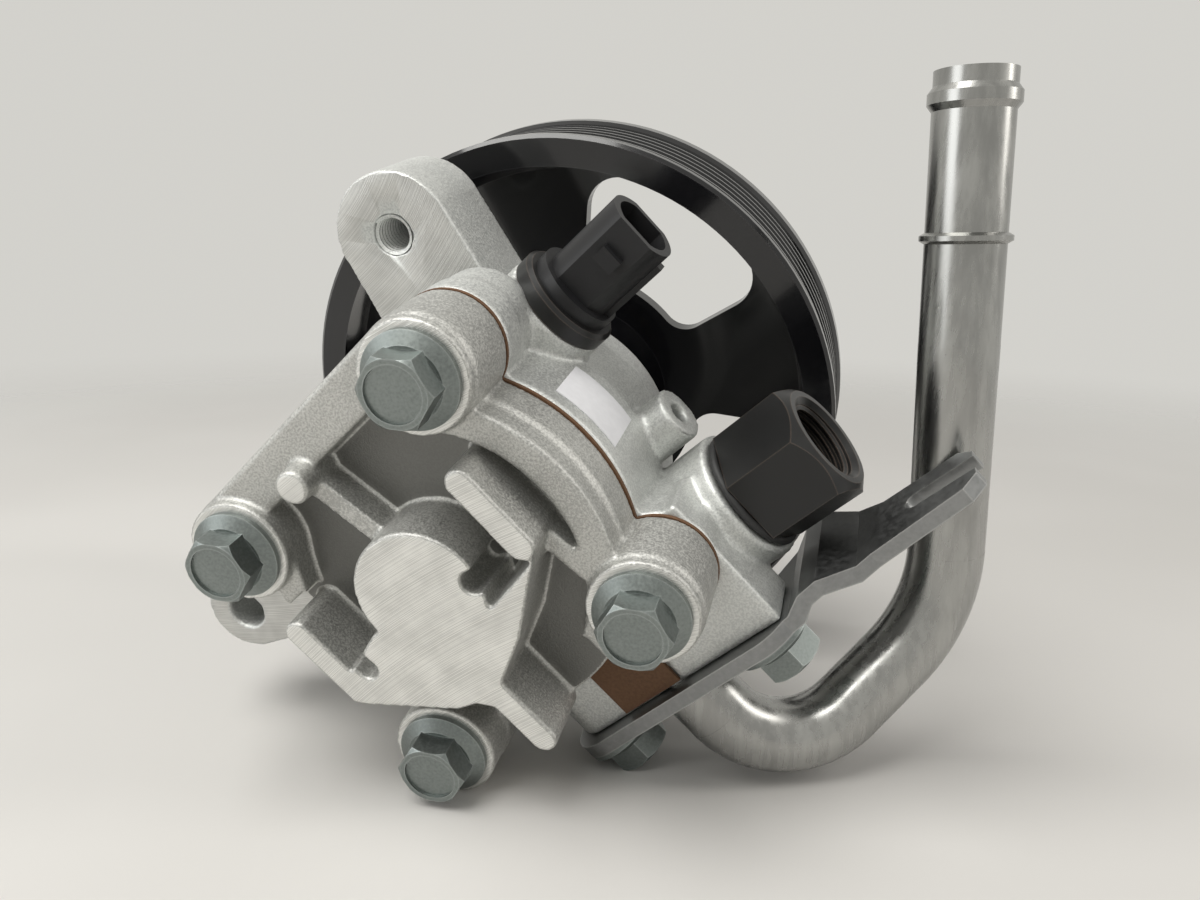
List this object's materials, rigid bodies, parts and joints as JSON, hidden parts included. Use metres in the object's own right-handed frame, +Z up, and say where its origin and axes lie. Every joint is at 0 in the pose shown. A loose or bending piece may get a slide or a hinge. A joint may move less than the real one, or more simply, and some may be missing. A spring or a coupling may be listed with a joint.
{
  "type": "power steering pump",
  "caption": "Belt-driven hydraulic vane pump for power steering: cast aluminium housing and cover, grooved pulley, pressure switch, outlet fitting and bent suction pipe on a forked bracket.",
  "frame": {"origin": "centre of the pulley rim's edge on the pump side, on the shaft's axis", "axes": "+Y along the shaft from the pump body to the pulley, +Z up as the pump sits on the engine, +X to the outlet side"},
  "size_m": [0.1677, 0.1265, 0.1534],
  "materials": {
    "cast_aluminium": "as cast",
    "cast_cover": "as cast, machined pads",
    "gasket": "matte",
    "zinc_bolt": "zinc flake",
    "steel": "ground",
    "dark_steel": "satin",
    "pipe_steel": "semi-gloss",
    "black_paint": "gloss",
    "black_steel": "satin",
    "black_plastic": "matte",
    "brass": "satin",
    "rubber": "matte",
    "label_white": "paper"
  },
  "bodies": {
    "pump_body": {"front_housing": "cast_aluminium", "rear_cover": "cast_cover", "cover_gasket": "gasket", "cover_bolts": "zinc_bolt", "cover_dowels": "steel", "bearing_outer_ring": "steel", "bearing_snap_ring": "dark_steel", "shaft_seal": "rubber", "cam_ring": "steel", "pressure_plate": "cast_aluminium", "plate_seal": "rubber", "spool_spring": "steel", "outlet_fitting": "black_steel", "fitting_seal": "rubber", "switch_base": "black_steel", "switch_connector": "black_plastic", "switch_terminals": "brass", "suction_bracket": "dark_steel", "suction_pipe": "pipe_steel", "suction_seal": "rubber", "suction_bolts": "zinc_bolt", "label": "label_white"},
    "rotating_group": {"drive_shaft": "steel", "pulley": "black_paint", "pulley_washer": "zinc_bolt", "pulley_nut": "zinc_bolt", "rotor": "steel", "vanes": "steel", "rotor_snap_ring": "dark_steel", "bearing_inner_ring": "steel"},
    "ball_set": {"bearing_cage": "brass", "bearing_balls": "steel"},
    "valve_spool": {"flow_spool": "steel"}
  },
  "joints": [
    {"name": "shaft_spin", "type": "hinge", "parent": "pump_body", "child": "rotating_group", "pos_m": [0, 0, 0], "axis": [0, 1, 0], "continuous": true},
    {"name": "ball_set_spin", "type": "hinge", "parent": "pump_body", "child": "ball_set", "pos_m": [0, 0, 0], "axis": [0, 1, 0], "continuous": true},
    {"name": "spool_slide", "type": "slide", "parent": "pump_body", "child": "valve_spool", "axis": [-0.7071, 0, -0.7071], "range_m": [0, 0.008], "stiffness_N_per_m": 3000, "springref_m": -0.004, "deforming": ["spool_spring"]}
  ],
  "couplings": [
    {"joint": "ball_set_spin", "follows": "shaft_spin", "ratio": 0.38246}
  ]
}
